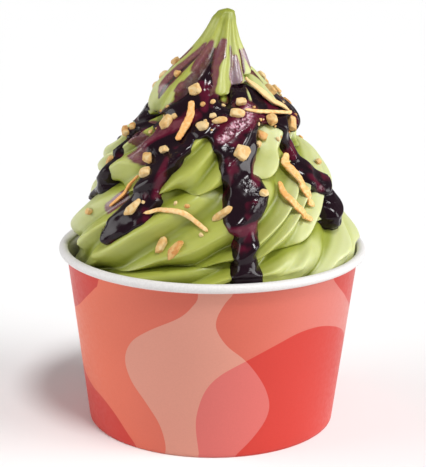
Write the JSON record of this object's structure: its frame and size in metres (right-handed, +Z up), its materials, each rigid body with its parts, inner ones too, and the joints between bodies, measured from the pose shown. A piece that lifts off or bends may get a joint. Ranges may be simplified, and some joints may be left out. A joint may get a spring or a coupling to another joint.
{
  "type": "cup of soft serve",
  "caption": "Green soft serve swirled high over a printed paper cup, with dark berry sauce running down it, chopped nuts and toasted strips.",
  "frame": {"origin": "middle of the cup's foot, on the surface the cup stands on", "axes": "+Z up along the cup's axis; -Y is the shown side; the tip of the swirl leans towards +X"},
  "size_m": [0.096, 0.096, 0.1297],
  "materials": {
    "paper_print": "satin printed paperboard in wavy fields of coral, salmon and rose",
    "white_paper": "matt white paperboard",
    "soft_serve": "moist green soft serve, soft sheen",
    "berry_sauce": "glossy dark berry sauce",
    "chopped_nuts": "dry chopped nuts",
    "toasted_strips": "dry toasted strips with browned edges"
  },
  "bodies": {
    "root": {"cup_wall": "paper_print", "cup_base": "white_paper", "soft_serve": "soft_serve"}
  },
  "joints": []
}
